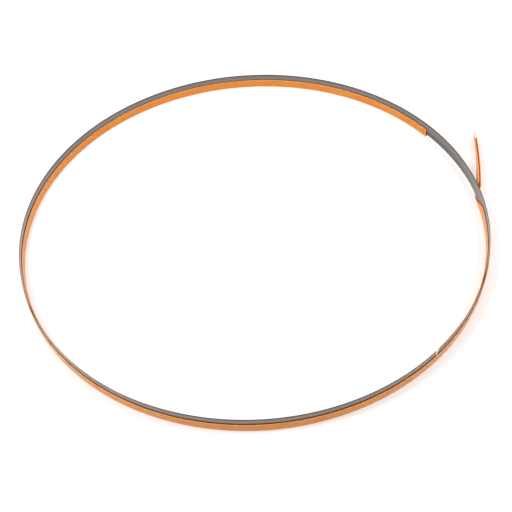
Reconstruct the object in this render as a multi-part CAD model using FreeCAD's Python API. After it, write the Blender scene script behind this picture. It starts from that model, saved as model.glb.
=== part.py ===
import FreeCAD, Part
import math
import os

os.makedirs("parts", exist_ok=True)

# A welded band saw blade with its tooth guard, lying back edge up on a flat surface.
# The origin is the loop's centre on that surface, +Z is up, lengths are in millimetres.

# The steel band
loop_length = 2750.0        # round the middle of the steel
band_width = 27.0           # tooth tips to back edge
band_thickness = 0.9
back_chamfer = 0.15         # broken corners of the back edge

# The teeth, of variable pitch, set straight, inward and outward in turn
coarse_pitch = 6.35         # 4 teeth to the inch
fine_pitch = 4.23           # 6 teeth to the inch
teeth_in_group = 9          # the pitch runs from coarse to fine and back over a group
coarse_gullet_depth = 2.6
fine_gullet_depth = 2.1
unbent_root = 0.5           # of the tooth beside the shallowest gullet
tooth_set = 0.3             # how far a set tooth's tip stands out sideways
hook_angle = 10.0           # the cutting face leans forward
gullet_floor = 1.0          # flat at the bottom of a gullet
gullet_front_corner = 0.7   # along the band, where the cutting face turns into the floor
gullet_back_corner = 0.6    # along the band, where the floor turns into the tooth's back
set_pattern = [0, -1, 1]    # straight, inward, outward
teeth_on_flat = 3

# The tooth guard, an extruded plastic channel pushed on over the teeth
guard_height = 17.5
guard_wall = 1.2
guard_web = 1.2             # floor of the channel
set_clearance = 0.6         # between the set teeth and each wall
tip_gap = 2.3               # between the tooth tips and the channel's floor
corner_chamfer = 0.8        # outer lower corners

# Where the guard ends, and how its loose end runs
covered_from = 30.0         # degrees from +X to the guard's fixed end
leaves_at = 2.6             # degrees from +X to where it turns out under the teeth
loose_end_length = 185.0
turn_out_radius = 35.0
turn_out_heading = 17.8     # degrees away from +Y, towards +X, when it is clear of the band
tail_curve_radius = 1100.0  # the loose end curls back towards the loop
lean_out = 11.6             # degrees that its top leans away from the loop, past the turn
lean_in = 14.9              # degrees that its top leans over the loop's side at the tip
station_step = 9.0          # between the sections of the loose end

# The inner wall is cut away where the guard passes under the teeth
relief_slope_length = 36.0  # its top edge falls over this length before the turn
relief_run_on = 5.0         # it stays low this far past the turn
relief_rise_length = 16.0   # and rises again over this one
relief_stub = 0.8           # what is left of the wall above the channel's floor
cutter_reach = 30.0         # how far the cutting shape runs inside the loop and past the wall
cutter_margin = 1.0         # above the guard
cutter_step = 6.0           # along the guard

loop_radius = loop_length / (2 * math.pi)
tip_height = guard_web + tip_gap
back_height = tip_height + band_width
bend_height = tip_height + fine_gullet_depth - unbent_root
half_band = band_thickness / 2
half_slot = half_band + tooth_set + set_clearance
half_guard = half_slot + guard_wall
turn_out_length = math.radians(leaves_at + turn_out_heading) * turn_out_radius
up = FreeCAD.Vector(0, 0, 1)
centre = FreeCAD.Vector(0, 0, 0)


def polygon_face(points):
    corners = [FreeCAD.Vector(*point) for point in points]
    return Part.Face(Part.makePolygon(corners + corners[:1]))


def revolved(outline, start_angle, end_angle):
    """Solid of revolution about Z, of an outline given as radius and height."""
    face = polygon_face([(radius, 0, height) for radius, height in outline])
    face.rotate(centre, up, start_angle)
    return face.revolve(centre, up, end_angle - start_angle)


def group_gullets(scale):
    """Pitch and depth of each gullet in one group, from coarse to fine and back."""
    middle = (coarse_pitch + fine_pitch) / 2
    swing = (coarse_pitch - fine_pitch) / 2
    mean_depth = (coarse_gullet_depth + fine_gullet_depth) / 2
    deepening = (coarse_gullet_depth - fine_gullet_depth) / 2
    gullets = []
    for index in range(teeth_in_group):
        wave = math.cos(2 * math.pi * (index + 0.5) / teeth_in_group)
        gullets.append(((middle + swing * wave) * scale, mean_depth + deepening * wave))
    return gullets


def gullet_corners(tip, depth):
    """Corners of the gullet ahead of a tooth tip, as length along the band and height."""
    hook = math.tan(math.radians(hook_angle)) * (bend_height - tip_height)
    root = tip_height + depth
    floor_start = tip - hook + gullet_front_corner
    floor_end = floor_start + gullet_floor
    return [
        (tip - hook, bend_height),
        (floor_start, root),
        (floor_end, root),
        (floor_end + gullet_back_corner, bend_height),
    ]


def floor_middle(corners):
    return (corners[1][0] + corners[2][0]) / 2


def outward(along):
    """Unit vector away from the loop's centre, at a length round the loop."""
    angle = along / loop_radius
    return FreeCAD.Vector(math.cos(angle), math.sin(angle), 0)


def mitre(normal, next_normal):
    """Sideways step at a bend for each millimetre of offset from the middle of the band."""
    return (normal + next_normal) * (1 / (1 + normal.dot(next_normal)))


class Flat:
    """One flat of the band, from a length round the loop to another, between its neighbours.

    The band bends only in the middle of gullets, which keeps it within 0.1 mm of round.
    """

    def __init__(self, cut_before, start, end, cut_after):
        self.start = start
        self.end = end
        self.normal = outward((start + end) / 2)
        self.start_mitre = mitre(outward((cut_before + start) / 2), self.normal)
        self.end_mitre = mitre(self.normal, outward((end + cut_after) / 2))

    def point(self, along, height, offset):
        share = (along - self.start) / (self.end - self.start)
        middle = (outward(self.start) * (1 - share) + outward(self.end) * share) * loop_radius
        sideways = {self.start: self.start_mitre, self.end: self.end_mitre}.get(along, self.normal)
        return middle + sideways * offset + up * height

    def face(self, *corners):
        return polygon_face([self.point(*corner) for corner in corners])

    def across(self, first, last):
        """Face through the thickness between two corners, given as length, height and set."""
        low = [(along, height, shift - half_band) for along, height, shift in (first, last)]
        high = [(along, height, shift + half_band) for along, height, shift in (last, first)]
        return self.face(*low, *high)


def flat_faces(flat, teeth):
    """Faces of the band along one flat, each tooth given as gullet behind, tip, set and gullet ahead."""
    sides = (-half_band, half_band)
    start, end = flat.start, flat.end
    first_root = teeth[0][0][1][1]
    last_root = teeth[-1][3][1][1]
    edge = [(start, first_root, 0)]
    faces = []
    for behind, tip, shift, ahead in teeth:
        corners_behind = [(*corner, 0) for corner in behind[2:]]
        corners_ahead = [(*corner, 0) for corner in ahead[:2]]
        edge += corners_behind + [(tip, tip_height, shift)] + corners_ahead
        for side in sides:
            point = (tip, tip_height, side + shift)
            faces.append(flat.face((*behind[3], side), point, (*ahead[0], side)))
    edge.append((end, last_root, 0))
    for first, last in zip(edge, edge[1:]):
        faces.append(flat.across(first, last))

    shoulder = back_height - back_chamfer
    crown = half_band - back_chamfer
    for side in sides:
        roots = [(along, height, side) for along, height, shift in edge if height != tip_height]
        faces.append(flat.face((start, shoulder, side), *roots, (end, shoulder, side)))
        inward = math.copysign(crown, side)
        faces.append(flat.face((start, shoulder, side), (end, shoulder, side),
                               (end, back_height, inward), (start, back_height, inward)))
    faces.append(flat.face((start, back_height, -crown), (end, back_height, -crown),
                           (end, back_height, crown), (start, back_height, crown)))
    return faces


def blade():
    """The endless band: one group of teeth, repeated a whole number of times round the loop."""
    nominal_group = teeth_in_group * (coarse_pitch + fine_pitch) / 2
    groups = round(loop_length / nominal_group)
    gullets = group_gullets(loop_length / groups / nominal_group)
    group_length = sum(pitch for pitch, depth in gullets)

    teeth = []
    tip = 0.0
    behind = gullet_corners(tip - gullets[-1][0], gullets[-1][1])
    for index, (pitch, depth) in enumerate(gullets):
        ahead = gullet_corners(tip, depth)
        shift = tooth_set * set_pattern[index % len(set_pattern)]
        teeth.append((behind, tip, shift, ahead))
        behind = ahead
        tip += pitch

    runs = [teeth[first:first + teeth_on_flat] for first in range(0, teeth_in_group, teeth_on_flat)]
    cuts = [floor_middle(run[0][0]) for run in runs]
    cuts = [cuts[-1] - group_length] + cuts + [cut + group_length for cut in cuts[:2]]
    group = []
    for index, run in enumerate(runs):
        group += flat_faces(Flat(*cuts[index:index + 4]), run)

    skin = []
    for index in range(groups):
        angle = math.degrees(index * group_length / loop_radius)
        for face in group:
            skin.append(face.rotated(centre, up, angle))
    shell = Part.Shell(skin)
    shell.sewShape()
    return Part.Solid(shell)


def channel_outline():
    """Section of the guard as sideways offset from its middle, and height."""
    return [
        (-half_guard + corner_chamfer, 0),
        (half_guard - corner_chamfer, 0),
        (half_guard, corner_chamfer),
        (half_guard, guard_height),
        (half_slot, guard_height),
        (half_slot, guard_web),
        (-half_slot, guard_web),
        (-half_slot, guard_height),
        (-half_guard, guard_height),
        (-half_guard, corner_chamfer),
    ]


def direction(heading):
    """Unit vector at a heading in degrees, counted from +Y towards +X."""
    angle = math.radians(heading)
    return FreeCAD.Vector(math.sin(angle), math.cos(angle), 0)


def arc_point(start, heading, radius, turned):
    """Point on an arc that turns by an angle towards +X, or away from it if that is negative."""
    side = math.copysign(1, turned)
    pivot = start + direction(heading + 90) * (radius * side)
    return pivot - direction(heading + turned + 90) * (radius * side)


def tail_point(length):
    """Middle of the guard's underside and its heading, at a length past where it leaves.

    A negative length is a place before that, where the guard still follows the band.
    """
    angle = math.radians(leaves_at) + min(length, 0) / loop_radius
    start = FreeCAD.Vector(math.cos(angle), math.sin(angle), 0) * loop_radius
    if length <= 0:
        return start, -math.degrees(angle)
    if length <= turn_out_length:
        turned = math.degrees(length / turn_out_radius)
        return arc_point(start, -leaves_at, turn_out_radius, turned), turned - leaves_at
    clear = arc_point(start, -leaves_at, turn_out_radius, leaves_at + turn_out_heading)
    turned = -math.degrees((length - turn_out_length) / tail_curve_radius)
    return arc_point(clear, turn_out_heading, tail_curve_radius, turned), turn_out_heading + turned


def tail_lean(length):
    """Lean of the loose end in degrees, outward just past the turn and inward at the tip."""
    fully_leaned = 2 * turn_out_length
    if length < fully_leaned:
        return lean_out * (1 - math.cos(math.pi * length / fully_leaned)) / 2
    share = (length - fully_leaned) / (loose_end_length - fully_leaned)
    return lean_out - (lean_out + lean_in) * share


def tail_section(length):
    """Outline of the guard at a length past where it leaves, leaning on its lower corner."""
    middle, heading = tail_point(length)
    lean = math.radians(tail_lean(length))
    sideways = direction(heading + 90)
    placed = []
    for offset, height in channel_outline():
        aside = offset * math.cos(lean) + height * math.sin(lean)
        raised = height * math.cos(lean) - offset * math.sin(lean)
        placed.append((aside, raised))
    lowest = min(raised for aside, raised in placed)
    corners = [middle + sideways * aside + up * (raised - lowest) for aside, raised in placed]
    return Part.makePolygon(corners + corners[:1])


def relief_cut():
    """What is taken off the inner wall, so that the guard passes under the teeth."""
    leaving_y = tail_point(0)[0].y
    clear_y = tail_point(turn_out_length + relief_run_on)[0].y
    stub = guard_web + relief_stub
    above = guard_height + cutter_margin
    notch = [
        (leaving_y - relief_slope_length, above),
        (leaving_y - relief_slope_length, guard_height),
        (leaving_y, stub),
        (clear_y, stub),
        (clear_y + relief_rise_length, guard_height),
        (clear_y + relief_rise_length, above),
    ]
    inside = loop_radius - cutter_reach
    side_view = polygon_face([(inside, along, height) for along, height in notch])
    side_view = side_view.extrude(FreeCAD.Vector(2 * cutter_reach, 0, 0))

    # In plan it ends at the middle of the guard, so that the outer wall stays whole
    first = -relief_slope_length - cutter_step
    last = turn_out_length + relief_run_on + 2 * relief_rise_length
    steps = math.ceil((last - first) / cutter_step)
    middles = [tail_point(first + (last - first) * step / steps)[0] for step in range(steps + 1)]
    plan = [(inside, middles[0].y, 0)] + [tuple(point) for point in middles]
    plan.append((inside, middles[-1].y, 0))
    plan_view = polygon_face(plan).extrude(up * (above + cutter_margin))
    return side_view.common(plan_view)


def tooth_guard():
    """The plastic channel over the teeth, with its loose end pulled off and standing outside."""
    section = [(loop_radius + offset, height) for offset, height in channel_outline()]
    covered = revolved(section, covered_from, 360 + leaves_at)
    stations = math.ceil(loose_end_length / station_step)
    lengths = [loose_end_length * index / stations for index in range(stations + 1)]
    sections = [tail_section(length) for length in lengths]
    loose_end = Part.makeLoft(sections, True, False)
    return covered.fuse(loose_end).removeSplitter().cut(relief_cut())


for name, make in (("blade", blade), ("tooth_guard", tooth_guard)):
    shape = make()
    print(name, shape.ShapeType, "valid", shape.isValid(), "solids", len(shape.Solids),
          "faces", len(shape.Faces), "volume", round(shape.Volume, 1))
    shape.exportStep("parts/" + name + ".step")
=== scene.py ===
import math

import bpy
from mathutils import Matrix, Vector


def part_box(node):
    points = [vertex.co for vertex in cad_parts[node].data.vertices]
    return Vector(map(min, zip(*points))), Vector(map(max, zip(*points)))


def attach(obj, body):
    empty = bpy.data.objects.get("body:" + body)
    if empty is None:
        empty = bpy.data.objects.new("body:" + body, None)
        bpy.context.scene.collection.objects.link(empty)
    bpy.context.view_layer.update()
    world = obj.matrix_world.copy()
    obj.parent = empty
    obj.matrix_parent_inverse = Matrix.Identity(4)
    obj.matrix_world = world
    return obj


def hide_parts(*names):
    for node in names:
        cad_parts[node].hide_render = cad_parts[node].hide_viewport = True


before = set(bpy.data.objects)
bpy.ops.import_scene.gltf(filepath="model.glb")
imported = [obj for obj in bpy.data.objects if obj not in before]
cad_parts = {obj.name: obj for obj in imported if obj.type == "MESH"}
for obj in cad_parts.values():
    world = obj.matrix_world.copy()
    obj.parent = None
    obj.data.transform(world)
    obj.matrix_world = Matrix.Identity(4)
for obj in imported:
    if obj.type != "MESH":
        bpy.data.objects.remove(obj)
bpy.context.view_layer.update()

# The steel band. A strip of tool steel with teeth milled along one edge, its ends butt welded
# into an endless loop. It stands on its teeth inside the guard, back edge up, and its own
# spring holds it in a ring.

mm = 0.001
loop_length = 2750 * mm
loop_radius = loop_length / (2 * math.pi)
half_steel = 0.45 * mm
tip_height, back_height = (corner.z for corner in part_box("blade"))
coarse_pitch, fine_pitch = 6.35 * mm, 4.23 * mm
coarse_gullet, fine_gullet = 2.6 * mm, 2.1 * mm
teeth_in_group = 9
set_pattern = (0, -1, 1)            # straight, inward, outward
tooth_set = 0.3 * mm
bend_below_gullet = 0.5 * mm
bend_height = tip_height + fine_gullet - bend_below_gullet
hook = math.radians(10)
gullet_floor, front_corner, back_corner = 1.0 * mm, 0.7 * mm, 0.6 * mm
flat_above_gullet = 0.6 * mm
root_line = tip_height + coarse_gullet + flat_above_gullet
points_round_corner = 3
points_to_panel = 4                 # of the tooth edge, to one panel of the flat side
# Sideways and down from the middle of the back edge, whose corners are rounded
back_edge = [(-half_steel, 0.22 * mm), (-0.38 * mm, 0.07 * mm), (-0.23 * mm, 0),
             (0.23 * mm, 0), (0.38 * mm, 0.07 * mm), (half_steel, 0.22 * mm)]
weld_angle = math.radians(-50.3)
weld_length = 7 * mm
sharp_edge = math.radians(30)
# Patterns of the finish: below 1 they are drawn out along or across the band, above 1 closer
grain_along, cloud_along, cross_along, cross_across = 0.02, 0.1, 4.0, 0.15
grain_scale, cloud_scale, cross_scale = 2.6, 0.09, 1.4      # per millimetre
scratch_depth = 0.05 * mm


def curve_point(start, corner, end, share):
    """Point at a share of the curve that cuts a corner between two places."""
    return start * (1 - share) ** 2 + corner * 2 * share * (1 - share) + end * share ** 2


def eased(before, corner, after, steps):
    """Points round a corner, from the middle of the line before it up to that of the next."""
    start, end = (before + corner) / 2, (corner + after) / 2
    return [curve_point(start, corner, end, step / steps) for step in range(steps)]


def milled_edge():
    """The tooth edge right round the loop: length along it, height and sideways set."""
    mean_pitch = (coarse_pitch + fine_pitch) / 2
    groups = round(loop_length / (teeth_in_group * mean_pitch))
    scale = loop_length / (groups * teeth_in_group * mean_pitch)
    tip, points = 0.0, []
    for tooth in range(groups * teeth_in_group):
        wave = math.cos(2 * math.pi * (tooth % teeth_in_group + 0.5) / teeth_in_group)
        pitch = (mean_pitch + (coarse_pitch - fine_pitch) / 2 * wave) * scale
        root = tip_height + (coarse_gullet + fine_gullet + (coarse_gullet - fine_gullet) * wave) / 2
        floor = tip - math.tan(hook) * (bend_height - tip_height) + front_corner
        corners = [Vector(corner) for corner in (
            (tip, tip_height), (floor - front_corner, bend_height), (floor, root),
            (floor + gullet_floor, root), (floor + gullet_floor + back_corner, bend_height),
            (tip + pitch, tip_height))]
        middle = floor + gullet_floor / 2
        sides = [tooth_set * set_pattern[(tooth + step) % len(set_pattern)] for step in (0, 1)]
        run = corners[:1]
        for before, corner, after in zip(corners, corners[1:], corners[2:]):
            run += eased(before, corner, after, points_round_corner)
        run.append((corners[-2] + corners[-1]) / 2)
        for along, height in run:
            lean = max(0, (bend_height - height) / (bend_height - tip_height))
            points.append((along, height, lean * sides[along > middle]))
        tip += pitch
    return points


def on_band(along, height, offset):
    """Place of a point of the strip, given as it lies flat."""
    angle, radius = along / loop_radius, loop_radius + offset
    return (radius * math.cos(angle), radius * math.sin(angle), height)


def bend_line(edge):
    """For each point of the edge, where the line above it meets the height at which teeth bend."""
    count = len(edge)
    lengths = [along for along, height, lean in edge]
    first = next(index for index, point in enumerate(edge) if point[1] >= bend_height)
    index = first
    while index < first + count:
        run = [index]
        while edge[(run[-1] + 1) % count][1] < bend_height:
            run.append(run[-1] + 1)
        run.append(run[-1] + 1)
        if len(run) > 2:
            places = [Vector((edge[k % count][0] + loop_length * (k // count), edge[k % count][1]))
                      for k in run]
            steps = [(b - a).length for a, b in zip(places, places[1:])]
            travelled = 0
            for k, step in zip(run[1:-1], steps):
                travelled += step
                share = travelled / sum(steps)
                lengths[k % count] = places[0].x + (places[-1].x - places[0].x) * share
        index = run[-1]
    return lengths


def mesh_piece(name, vertices, faces, material):
    """A mesh of its own, smooth except at sharp edges."""
    mesh = bpy.data.meshes.new(name)
    mesh.from_pydata(vertices, [], faces)
    mesh.validate()
    mesh.shade_smooth()
    mesh.set_sharp_from_angle(angle=sharp_edge)
    mesh.materials.append(material)
    piece = bpy.data.objects.new(name, mesh)
    bpy.context.scene.collection.objects.link(piece)
    return piece


def band_mesh():
    """The whole band: its toothed edge, the flats above in panels, and the back edge."""
    edge = milled_edge()
    bends = bend_line(edge)
    count = len(edge)
    vertices, columns = [], []
    for (along, height, lean), bend in zip(edge, bends):
        column = {}
        for side in (-1, 1):
            offset = half_steel * side
            column["edge", side] = len(vertices)
            vertices.append(on_band(along, height, offset + lean))
            if height < bend_height:
                column["bend", side] = len(vertices)
                vertices.append(on_band(bend, bend_height, offset))
            else:
                column["bend", side] = column["edge", side]
            column["root", side] = len(vertices)
            vertices.append(on_band(bend, root_line, offset))
        columns.append(column)
    panel_marks = list(range(0, count, points_to_panel))
    for mark in panel_marks:
        for place, (offset, drop) in enumerate(back_edge):
            columns[mark]["back", place] = len(vertices)
            vertices.append(on_band(bends[mark], back_height - drop, offset))

    faces = []
    for here, ahead in zip(columns, columns[1:] + columns[:1]):
        faces.append((here["edge", -1], here["edge", 1], ahead["edge", 1], ahead["edge", -1]))
        for side in (-1, 1):
            for below, above in (("edge", "bend"), ("bend", "root")):
                corners = list(dict.fromkeys((
                    here[below, side], here[above, side],
                    ahead[above, side], ahead[below, side])))
                if len(corners) > 2:        # fewer where both points lie above the bend line
                    faces.append(tuple(corners[::side]))
    for mark, following in zip(panel_marks, panel_marks[1:] + [count]):
        here, ahead = columns[mark], columns[following % count]
        for side, place in ((-1, 0), (1, len(back_edge) - 1)):
            roots = [columns[k % count]["root", side] for k in range(mark, following + 1)]
            panel = roots + [ahead["back", place], here["back", place]]
            faces.append(tuple(panel[::-side]))
        for place in range(len(back_edge) - 1):
            faces.append((here["back", place], ahead["back", place],
                          ahead["back", place + 1], here["back", place + 1]))
    return vertices, faces


class Nodes:
    """A material's nodes, made and linked in one line each."""

    def __init__(self, name):
        self.material = bpy.data.materials.new(name)
        self.material.use_nodes = True
        self.tree = self.material.node_tree
        self.surface = self.tree.nodes["Principled BSDF"]

    def add(self, kind, inputs=(), **settings):
        node = self.tree.nodes.new("ShaderNode" + kind)
        for setting, value in settings.items():
            setattr(node, setting, value)
        for socket, value in dict(inputs).items():
            self.put(node.inputs[socket], value)
        return node

    def set_surface(self, **values):
        """The surface's sockets by name, with _ for each space."""
        for name, value in values.items():
            self.put(self.surface.inputs[name.replace("_", " ")], value)

    def put(self, socket, value):
        if isinstance(value, bpy.types.NodeSocket):
            self.tree.links.new(value, socket)
        else:
            socket.default_value = value

    def maths(self, operation, *values):
        return self.add("Math", enumerate(values), operation=operation).outputs[0]

    def ramp(self, value, stops):
        node = self.add("ValToRGB", {"Fac": value})
        while len(node.color_ramp.elements) < len(stops):
            node.color_ramp.elements.new(1)
        for element, (place, colour) in zip(node.color_ramp.elements, stops):
            element.position, element.color = place, colour
        return node.outputs["Color"]

    def mix(self, share, first, second, blend="MIX"):
        colours = {0: share, 6: first, 7: second}        # a colour mix has these sockets
        return self.add("Mix", colours, data_type="RGBA", blend_type=blend).outputs[2]

    def shade(self, colour, value, stops):
        """The colour made lighter and darker by a ramp of greys."""
        return self.mix(1.0, colour, self.ramp(value, stops), "MULTIPLY")

    def stretched(self, along, factor, height):
        """Place on the strip as it lies flat, its length multiplied by a factor."""
        parts = {"X": self.maths("MULTIPLY", along, factor), "Y": height}
        return self.add("CombineXYZ", parts).outputs[0]

    def noise(self, place, scale, detail, roughness):
        inputs = {"Vector": place, "Scale": scale, "Detail": detail, "Roughness": roughness}
        return self.add("TexNoise", inputs).outputs["Fac"]


def grey(level):
    return (level, level, level, 1)


def srgb(red, green, blue):
    """Linear colour of a colour given as it looks on a screen, 0 to 255."""
    levels = [((level / 255 + 0.055) / 1.055) ** 2.4 for level in (red, green, blue)]
    return (*levels, 1)


def round_the_loop(nodes, start_angle):
    """Length round the loop, nought at an angle, and height, as nodes in millimetres."""
    place = nodes.add("TexCoord").outputs["Object"]
    turned = nodes.add(
        "VectorRotate", {"Vector": place, "Angle": -start_angle}, rotation_type="Z_AXIS")
    parts = nodes.add("SeparateXYZ", {"Vector": turned.outputs[0]}).outputs
    angle = nodes.maths("ARCTAN2", parts["Y"], parts["X"])
    along = nodes.maths("MULTIPLY", angle, loop_radius / mm)
    height = nodes.maths("MULTIPLY", parts["Z"], 1 / mm)
    return along, height


def saw_steel():
    nodes = Nodes("saw_steel")
    along, height = round_the_loop(nodes, weld_angle)
    above_tips = nodes.maths("SUBTRACT", height, tip_height / mm)
    level = nodes.maths("DIVIDE", above_tips, (back_height - tip_height) / mm)

    # Rolled and ground lengthwise: the tone runs darker towards the teeth. Near the back edge it is
    # darkened again, a painted shade along that rounded edge
    tone = nodes.ramp(level, [
        (0.00, srgb(50, 47, 45)), (0.08, srgb(62, 58, 56)), (0.16, srgb(90, 84, 81)),
        (0.34, srgb(97, 89, 86)), (0.55, srgb(119, 110, 106)), (0.72, srgb(129, 119, 114)),
        (0.86, srgb(122, 113, 108)), (0.94, srgb(96, 90, 86)), (0.975, srgb(62, 58, 56))])
    grain = nodes.noise(nodes.stretched(along, grain_along, height), grain_scale, 4.0, 0.6)
    cloud = nodes.noise(nodes.stretched(along, cloud_along, height), cloud_scale, 3.0, 0.55)
    tone = nodes.shade(tone, grain, [(0.3, grey(0.86)), (0.7, grey(1.08))])
    tone = nodes.shade(tone, cloud, [(0.35, grey(0.92)), (0.65, grey(1.06))])

    # The weld is ground flush across the band, bright, with a straw tint of heat at both sides
    from_weld = nodes.maths("ABSOLUTE", along)
    weld = nodes.ramp(nodes.maths("DIVIDE", from_weld, weld_length / mm),
                      [(0.0, grey(1)), (0.42, grey(1)), (0.52, grey(0))])
    tint = nodes.ramp(nodes.maths("DIVIDE", from_weld, 2 * weld_length / mm),
                      [(0.25, grey(0.55)), (0.8, grey(0))])
    across = nodes.maths("MULTIPLY", height, cross_across)
    cross = nodes.noise(nodes.stretched(along, cross_along, across), cross_scale, 3.0, 0.6)
    ground = nodes.ramp(cross, [(0.3, srgb(178, 177, 175)), (0.7, srgb(208, 207, 204))])
    tone = nodes.mix(tint, tone, srgb(126, 108, 84))
    tone = nodes.mix(weld, tone, ground)

    # A thin film of oil lies on it, and it brightens at a glancing angle
    rough = nodes.ramp(grain, [(0.25, grey(0.18)), (0.75, grey(0.28))])
    scratches = nodes.mix(weld, grain, cross)
    bump = nodes.add("Bump", {"Height": scratches, "Strength": 0.12, "Distance": scratch_depth})
    nodes.set_surface(
        Base_Color=tone, Roughness=nodes.mix(weld, rough, grey(0.42)), Metallic=1.0,
        Anisotropic=0.8, Anisotropic_Rotation=0.25, Coat_Weight=0.6, Coat_Roughness=0.1,
        Sheen_Weight=0.9, Sheen_Roughness=0.3, Sheen_Tint=srgb(255, 240, 226),
        Normal=bump.outputs[0])
    return nodes.material


band = mesh_piece("steel_band", *band_mesh(), saw_steel())
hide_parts("blade")
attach(band, "root")

# The tooth guard. A soft plastic strip, extruded as a channel and pushed on over the teeth all
# round. It is nearly as long as the band, and the end where it is peeled off stands free
# outside, curled over by the way it was coiled.

guard_height = 17.5 * mm
guard_wall, guard_web = 1.2 * mm, 1.2 * mm
half_slot = 1.35 * mm
outer_rounding, lip_rounding, inner_rounding = 1.1 * mm, 0.4 * mm, 0.35 * mm
rounding_shares = (0, 0.3, 0.7, 1)
cut_end_rounding = 0.18 * mm
covered_from, leaves_at = 30.0, 2.6      # degrees round from +X
loose_length = 185 * mm
turn_out_radius, turn_out_heading = 35 * mm, 17.8      # degrees from +Y
tail_curve_radius = 1100 * mm
lean_out, lean_in = 11.6, 14.9           # degrees, after the turn and at the end
relief_slope, relief_run_on, relief_rise = 36 * mm, 5 * mm, 16 * mm
relief_stub = 0.8 * mm
ring_step, tail_step = 0.6, 2 * mm       # degrees, metres
line_along, patch_along = 0.01, 0.3
line_scale, patch_scale = 1.3, 0.08      # per millimetre
line_depth = 0.05 * mm

turn_angle = leaves_at + turn_out_heading
turn_length = math.radians(turn_angle) * turn_out_radius
pushed_on_length = math.radians(360 + leaves_at - covered_from) * loop_radius


def channel_outline(shrunk):
    """Rounded section of the channel, sideways offset and height, thinner on every side."""
    inner, outer = half_slot + shrunk, half_slot + guard_wall - shrunk
    low, floor, top = shrunk, guard_web - shrunk, guard_height - shrunk
    corners = [
        (-outer, low, outer_rounding), (outer, low, outer_rounding), (outer, top, lip_rounding),
        (inner, top, lip_rounding), (inner, floor, inner_rounding), (-inner, floor, inner_rounding),
        (-inner, top, lip_rounding), (-outer, top, lip_rounding)]
    outline = []
    for before, (*place, rounding), after in zip(
            corners[-1:] + corners, corners, corners[1:] + corners[:1]):
        corner = Vector(place)
        start = corner + (Vector(before[:2]) - corner).normalized() * rounding
        end = corner + (Vector(after[:2]) - corner).normalized() * rounding
        outline += [curve_point(start, corner, end, share) for share in rounding_shares]
    return outline


def heading_vector(heading):
    """Unit vector at a heading in degrees, counted from +Y towards +X."""
    return Vector((math.sin(math.radians(heading)), math.cos(math.radians(heading)), 0))


def arc_point(start, heading, radius, turned):
    """Point on an arc that turns by an angle towards +X, or away from it if that is negative."""
    side = math.copysign(1, turned)
    pivot = start + heading_vector(heading + 90) * (radius * side)
    return pivot - heading_vector(heading + turned + 90) * (radius * side)


def under_teeth(angle):
    """Middle of the underside where the strip is pushed on, at an angle round the loop."""
    return Vector((math.cos(angle), math.sin(angle), 0)) * loop_radius


def loose_place(length):
    """Middle of the underside, heading and lean, at a length along the loose end."""
    start = under_teeth(math.radians(leaves_at))
    share = (length - 2 * turn_length) / (loose_length - 2 * turn_length)
    lean = lean_out - (lean_out + lean_in) * share
    if length < 2 * turn_length:
        lean = lean_out * (1 - math.cos(math.pi * length / (2 * turn_length))) / 2
    if length <= turn_length:
        turned = math.degrees(length / turn_out_radius)
        return arc_point(start, -leaves_at, turn_out_radius, turned), turned - leaves_at, lean
    clear = arc_point(start, -leaves_at, turn_out_radius, turn_angle)
    turned = -math.degrees((length - turn_length) / tail_curve_radius)
    place = arc_point(clear, turn_out_heading, tail_curve_radius, turned)
    return place, turn_out_heading + turned, lean


def strip_place(length):
    """The same for the whole strip, at a length from its fixed end."""
    if length >= pushed_on_length:
        return loose_place(length - pushed_on_length)
    angle = math.radians(covered_from) + length / loop_radius
    return under_teeth(angle), -math.degrees(angle), 0


def inner_wall_drop(middle):
    """How far the inner wall is cut down there, so that the strip passes under the teeth."""
    if middle.x < 0:
        return 0
    leaving_y = loop_radius * math.sin(math.radians(leaves_at))
    clear_y = loose_place(turn_length + relief_run_on)[0].y
    full = guard_height - guard_web - relief_stub
    before, after = (leaving_y - middle.y) / relief_slope, (middle.y - clear_y) / relief_rise
    return full * min(1, max(0, 1 - max(before, after, 0)))


def strip_section(length, shrunk):
    """The section at a length along the strip, with its lowest edge on the floor."""
    middle, heading, lean = strip_place(length)
    outward, lean = heading_vector(heading + 90), math.radians(lean)
    drop = inner_wall_drop(middle)
    placed = []
    for offset, height in channel_outline(shrunk):
        if offset < 0 and height > guard_height / 2:
            height -= drop
        placed.append((offset * math.cos(lean) + height * math.sin(lean),
                       height * math.cos(lean) - offset * math.sin(lean)))
    lowest = min(height for offset, height in placed) - shrunk
    return [middle + outward * offset + Vector((0, 0, height - lowest))
            for offset, height in placed]


def guard_mesh():
    """The whole strip, section by section from its fixed end to its loose end."""
    ring_steps = math.ceil((360 + leaves_at - covered_from) / ring_step)
    tail_steps = math.ceil(loose_length / tail_step)
    stations = [pushed_on_length * step / ring_steps for step in range(ring_steps)]
    stations += [pushed_on_length + loose_length * step / tail_steps
                 for step in range(tail_steps + 1)]
    stations[0] += cut_end_rounding
    stations[-1] -= cut_end_rounding
    sections = [strip_section(0, cut_end_rounding)]
    sections += [strip_section(station, 0) for station in stations]
    sections.append(strip_section(pushed_on_length + loose_length, cut_end_rounding))
    size = len(sections[0])
    vertices = [point for section in sections for point in section]
    faces = []
    for row in range(len(sections) - 1):
        for index in range(size):
            here, following = row * size + index, row * size + (index + 1) % size
            faces.append((here, here + size, following + size, following))
    last = (len(sections) - 1) * size
    faces.append(tuple(range(size)))
    faces.append(tuple(range(last + size - 1, last - 1, -1)))
    return vertices, faces


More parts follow.
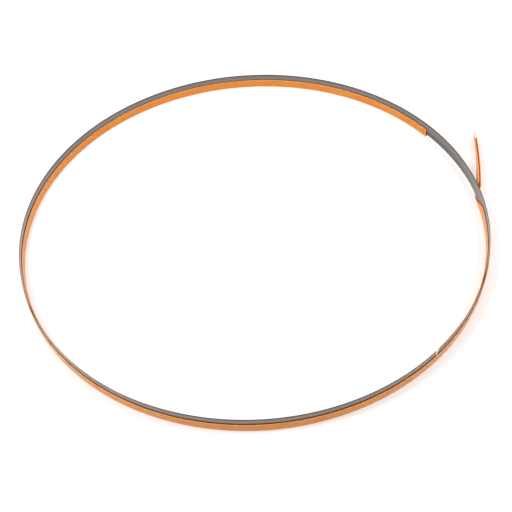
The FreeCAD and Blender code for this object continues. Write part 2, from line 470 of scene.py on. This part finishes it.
def orange_plastic():
    nodes = Nodes("orange_plastic")
    along, height = round_the_loop(nodes, math.radians(covered_from) - math.pi)

    # Faint lines drawn along the strip by the extrusion die, over a slight unevenness of colour
    lines = nodes.noise(nodes.stretched(along, line_along, height), line_scale, 3.0, 0.6)
    patches = nodes.noise(nodes.stretched(along, patch_along, height), patch_scale, 3.0, 0.5)
    colour = nodes.ramp(lines, [(0.3, srgb(235, 138, 49)), (0.7, srgb(241, 147, 57))])
    colour = nodes.shade(colour, patches, [(0.3, grey(0.94)), (0.7, grey(1.04))])

    # It is painted paler towards the thin lips, a painted highlight along their tops
    level = nodes.maths("DIVIDE", height, guard_height / mm)
    lip_highlight = nodes.ramp(level, [(0.93, grey(0)), (1.0, grey(0.45))])
    colour = nodes.mix(lip_highlight, colour, srgb(255, 196, 138))
    rough = nodes.ramp(patches, [(0.2, grey(0.26)), (0.8, grey(0.36))])
    bump = nodes.add("Bump", {"Height": lines, "Strength": 0.10, "Distance": line_depth})
    nodes.set_surface(
        Base_Color=colour, Roughness=rough, IOR=1.49, Specular_IOR_Level=0.35,
        Subsurface_Weight=1.0, Subsurface_Radius=(1.0, 0.5, 0.2), Subsurface_Scale=4.0 * mm,
        Normal=bump.outputs[0])
    return nodes.material


guard = mesh_piece("guard_strip", *guard_mesh(), orange_plastic())
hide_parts("tooth_guard")
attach(guard, "root")

# The studio: a matt white sheet, which takes a faint warm tint beside the guard. Further out it
# is as white as the room, so that no edge shows.

floor_radius = 8
floor_corners = 64
white_card_share = 0.38                        # of the sheet's look, plain white near the loop
card_grows_from, card_whole_at = 0.8, 1.6      # metres from the middle

rim = [(floor_radius * math.cos(2 * math.pi * k / floor_corners),
        floor_radius * math.sin(2 * math.pi * k / floor_corners), 0) for k in range(floor_corners)]


def white_sheet():
    nodes = Nodes("white_sheet")
    nodes.set_surface(Base_Color=(0.97, 0.965, 0.96, 1), Roughness=1.0, Specular_IOR_Level=0.0)
    seen = nodes.add("LightPath").outputs
    mirrored = nodes.maths("MAXIMUM", seen["Is Glossy Ray"], seen["Is Transmission Ray"])
    shown = nodes.maths("MAXIMUM", seen["Is Camera Ray"], mirrored)
    card = nodes.add("Emission", {"Color": (1, 1, 1, 1), "Strength": 1.0})
    place = nodes.add("TexCoord").outputs["Object"]
    distance = nodes.add("VectorMath", {0: place}, operation="LENGTH").outputs["Value"]
    growing = nodes.add("MapRange", {"Value": distance, "From Min": card_grows_from,
                                     "From Max": card_whole_at, "To Min": white_card_share})
    share = nodes.maths("MULTIPLY", shown, growing.outputs["Result"])
    mixed = nodes.add("MixShader", {0: share, 1: nodes.surface.outputs[0], 2: card.outputs[0]})
    nodes.put(nodes.tree.nodes["Material Output"].inputs["Surface"], mixed.outputs[0])
    return nodes.material


sheet = mesh_piece("floor_sheet", rim, [tuple(range(floor_corners))], white_sheet())

# The light: a white room, a large soft box overhead, a small one at each side, and one from
# behind at the left, which reaches over the steel onto the loose end.


def soft_box(name, place, size, power):
    """A round lamp that faces the middle of the loop, in metres and watts."""
    light = bpy.data.lights.new(name, "AREA")
    light.shape = "DISK"
    light.size = size
    light.energy = power
    box = bpy.data.objects.new(name, light)
    box.location = place
    box.rotation_euler = (-Vector(place)).to_track_quat("-Z", "Y").to_euler()
    bpy.context.scene.collection.objects.link(box)


soft_box("overhead_box", (0.1, 0.3, 1.9), 1.6, 8)
soft_box("left_box", (-0.9, -0.3, 1.4), 0.4, 12)
soft_box("right_box", (1.05, -0.35, 1.1), 0.4, 6)
soft_box("back_box", (-0.7, 1.0, 1.7), 0.4, 7)

room_light, room_seen = 0.53, 1.0       # its strength as a lamp, and as it is seen or mirrored
room = bpy.data.worlds.new("white_room")
room.use_nodes = True
tree = room.node_tree
backdrop = tree.nodes["Background"]
backdrop.inputs["Color"].default_value = (1, 1, 1, 1)
seen = tree.nodes.new("ShaderNodeLightPath").outputs
shown = seen["Is Camera Ray"]
for mirrored in (seen["Is Glossy Ray"], seen["Is Transmission Ray"]):
    either = tree.nodes.new("ShaderNodeMath")
    either.operation = "MAXIMUM"
    tree.links.new(shown, either.inputs[0])
    tree.links.new(mirrored, either.inputs[1])
    shown = either.outputs[0]
strength = tree.nodes.new("ShaderNodeMix")
strength.inputs[2].default_value = room_light
strength.inputs[3].default_value = room_seen
tree.links.new(shown, strength.inputs[0])
tree.links.new(strength.outputs[0], backdrop.inputs["Strength"])
bpy.context.scene.world = room

# The camera stands in front of the loop and looks down on it, turned a little out of level.

camera_place = (0.00124, -0.99057, 1.03838)
camera_tilt, camera_roll = math.radians(90 - 48.868), math.radians(-4.097)
camera_data = bpy.data.cameras.new("camera")
camera_data.lens = 52.34
camera_data.sensor_width = 36
camera = bpy.data.objects.new("camera", camera_data)
camera.matrix_world = (
    Matrix.Translation(camera_place)
    @ Matrix.Rotation(camera_tilt, 4, "X") @ Matrix.Rotation(camera_roll, 4, "Z"))
bpy.context.scene.collection.objects.link(camera)
bpy.context.scene.camera = camera
bpy.context.scene.view_settings.view_transform = "Standard"
